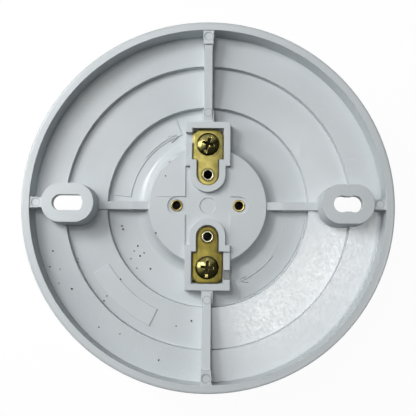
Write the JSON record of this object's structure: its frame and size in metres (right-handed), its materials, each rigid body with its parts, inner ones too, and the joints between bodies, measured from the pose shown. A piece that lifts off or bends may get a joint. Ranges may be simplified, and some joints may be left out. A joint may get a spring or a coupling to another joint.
{
  "type": "junction box cover",
  "caption": "Round moulded cover for a ceiling junction box, with two slotted ears, walled brass screw terminals and a screw lamp socket on its far side.",
  "frame": {"origin": "centre of the rim's seating plane, the face that closes the junction box", "axes": "+Z out of the wiring side into the box, X through the two screw ears (slots), Y through the two terminals, +Y to the top of the picture"},
  "size_m": [0.118, 0.118, 0.04],
  "materials": {
    "white_plastic": "slightly glossy white moulded plastic",
    "terminal_brass": "brushed brass",
    "screw_brass": "bright turned brass",
    "eyelet_brass": "rolled pale brass",
    "shell_brass": "thin rolled brass",
    "contact_brass": "spring brass"
  },
  "bodies": {
    "cover": {"cover_body": "white_plastic", "line_terminal_plate": "terminal_brass", "neutral_terminal_plate": "terminal_brass", "line_eyelet": "eyelet_brass", "neutral_eyelet": "eyelet_brass", "left_shell_eyelet": "eyelet_brass", "right_shell_eyelet": "eyelet_brass", "screw_shell": "shell_brass", "centre_contact": "contact_brass"},
    "line_screw": {"line_terminal_screw": "screw_brass"},
    "neutral_screw": {"neutral_terminal_screw": "screw_brass"}
  },
  "joints": [
    {"name": "line_screw_travel", "type": "slide", "parent": "cover", "child": "line_screw", "axis": [0, 0, 1], "range_m": [0, 0.003]},
    {"name": "neutral_screw_travel", "type": "slide", "parent": "cover", "child": "neutral_screw", "axis": [0, 0, 1], "range_m": [0, 0.003]}
  ]
}
